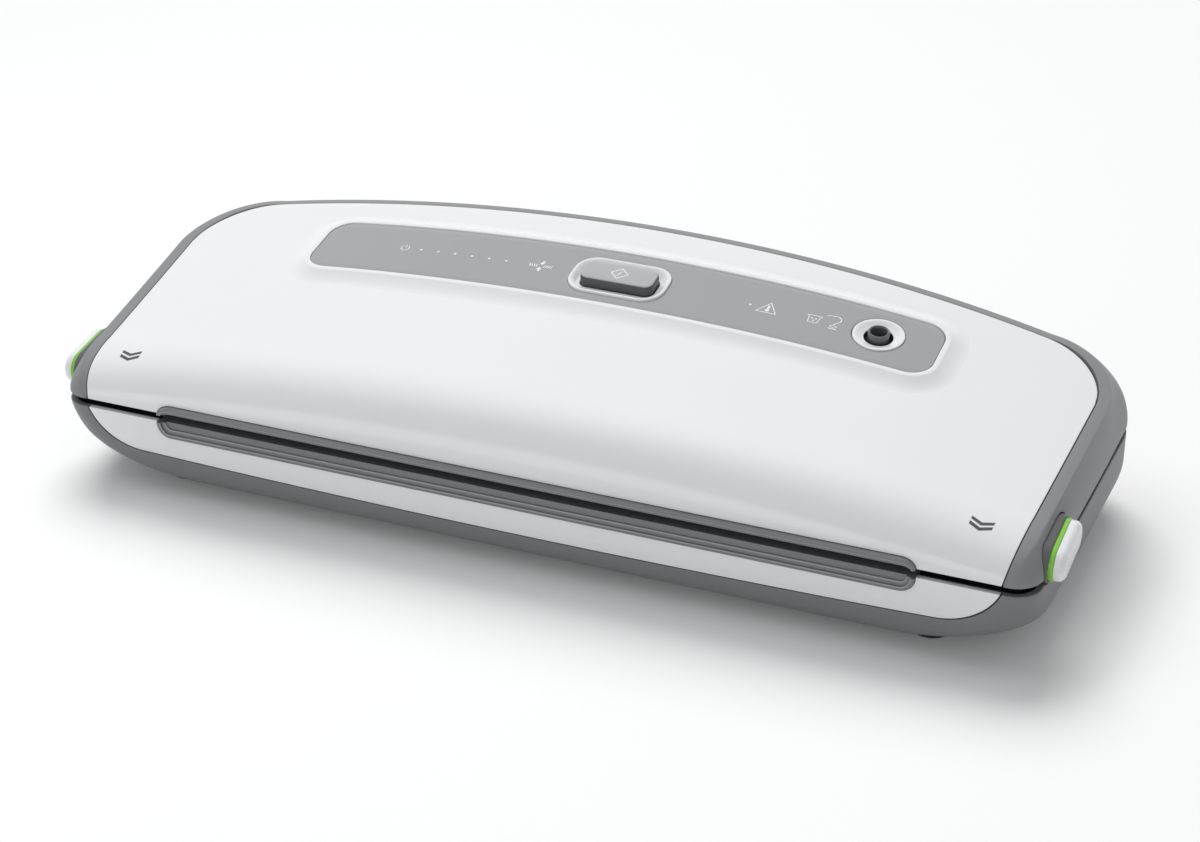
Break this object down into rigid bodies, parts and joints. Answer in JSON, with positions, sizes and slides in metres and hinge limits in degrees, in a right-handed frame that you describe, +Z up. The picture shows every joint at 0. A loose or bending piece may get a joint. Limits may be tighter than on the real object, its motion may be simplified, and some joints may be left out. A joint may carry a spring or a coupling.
{
  "type": "vacuum sealer",
  "caption": "Countertop vacuum sealer with a hinged lid, a bag slot with heated seal bar, vacuum pump, latches with side release buttons and a start button",
  "frame": {"origin": "middle of the footprint, on the plane the feet stand on", "axes": "+X to the right as seen from the front, +Y to the back, +Z up"},
  "size_m": [0.4032, 0.154, 0.0831],
  "materials": {
    "base_plastic": "satin grey moulded plastic",
    "white_plastic": "glossy white moulded plastic",
    "dark_plastic": "matt dark grey moulded plastic",
    "panel_film": "glossy grey panel film",
    "green_band": "glossy green plastic",
    "black_foam": "closed-cell foam and soft rubber",
    "steel": "plain steel",
    "tape": "coated glass-cloth tape",
    "board": "green lacquered board",
    "clear_tube": "soft milky tube",
    "light": "small light bodies",
    "copper_wound": "varnished winding and core"
  },
  "bodies": {
    "base": {"base_shell": "base_plastic", "front_trim": "white_plastic", "base_deck": "dark_plastic", "drip_tray": "dark_plastic", "lower_slot_lip": "dark_plastic", "lower_gasket": "black_foam", "seal_bar_carrier": "dark_plastic", "heating_strip": "steel", "ptfe_tape": "tape", "power_board": "board", "transformer": "copper_wound", "power_components": "dark_plastic", "base_screws": "steel", "foot_front_left": "black_foam", "foot_front_right": "black_foam", "foot_rear_left": "black_foam", "foot_rear_right": "black_foam", "hinge_pin_left": "steel", "hinge_pin_right": "steel", "button_housing_left": "dark_plastic", "button_housing_right": "dark_plastic", "latch_pin_left": "steel", "latch_pin_right": "steel", "latch_spring_left": "steel", "latch_spring_right": "steel"},
    "lid": {"lid_cover": "white_plastic", "lid_frame": "base_plastic", "lid_pan": "dark_plastic", "upper_slot_lip": "dark_plastic", "upper_gasket": "black_foam", "pressure_strip": "black_foam", "panel_frame": "white_plastic", "panel_inlay": "panel_film", "button_ring": "white_plastic", "port_ring": "white_plastic", "port_nozzle": "panel_film", "control_board": "board", "tact_switch": "dark_plastic", "indicator_leds": "light", "lid_screws": "steel", "pump_bracket": "steel", "pump_motor": "steel", "pump_head": "dark_plastic", "vacuum_tube": "clear_tube", "port_tube": "clear_tube", "button_spring": "steel"},
    "pump_rotor": {"motor_shaft": "steel", "eccentric": "dark_plastic"},
    "pump_piston": {"piston": "white_plastic"},
    "start_key": {"start_button": "white_plastic"},
    "release_left": {"release_cap_left": "white_plastic", "release_band_left": "green_band", "release_slide_left": "dark_plastic"},
    "release_right": {"release_cap_right": "white_plastic", "release_band_right": "green_band", "release_slide_right": "dark_plastic"},
    "latch_left": {"latch_hook_left": "white_plastic"},
    "latch_right": {"latch_hook_right": "white_plastic"}
  },
  "joints": [
    {"name": "lid_hinge", "type": "hinge", "parent": "base", "child": "lid", "pos_m": [0, 0.0725, 0.0398], "axis": [-1, 0, 0], "range_deg": [0, 60]},
    {"name": "release_right_slide", "type": "slide", "parent": "base", "child": "release_right", "axis": [-1, 0, 0], "range_m": [0, 0.003], "stiffness_N_per_m": 400},
    {"name": "release_left_slide", "type": "slide", "parent": "base", "child": "release_left", "axis": [1, 0, 0], "range_m": [0, 0.003], "stiffness_N_per_m": 400},
    {"name": "latch_right_pivot", "type": "hinge", "parent": "base", "child": "latch_right", "pos_m": [0.17995, -0.0455, 0.014], "axis": [0, -1, 0], "range_deg": [0, 11.46]},
    {"name": "latch_left_pivot", "type": "hinge", "parent": "base", "child": "latch_left", "pos_m": [-0.17995, -0.0455, 0.014], "axis": [0, 1, 0], "range_deg": [0, 11.46]},
    {"name": "start_press", "type": "slide", "parent": "lid", "child": "start_key", "axis": [0, 0, -1], "range_m": [0, 0.0012], "stiffness_N_per_m": 500, "deforming": ["button_spring"]},
    {"name": "pump_shaft", "type": "hinge", "parent": "lid", "child": "pump_rotor", "pos_m": [-0.0055, -0.011, 0.055], "axis": [1, 0, 0], "continuous": true},
    {"name": "piston_slide", "type": "slide", "parent": "lid", "child": "pump_piston", "axis": [0, 1, 0], "range_m": [-0.0015, 0.0015]}
  ],
  "couplings": [
    {"joint": "latch_right_pivot", "follows": "release_right_slide", "rad_per_m": 66.667},
    {"joint": "latch_left_pivot", "follows": "release_left_slide", "rad_per_m": 66.667}
  ]
}
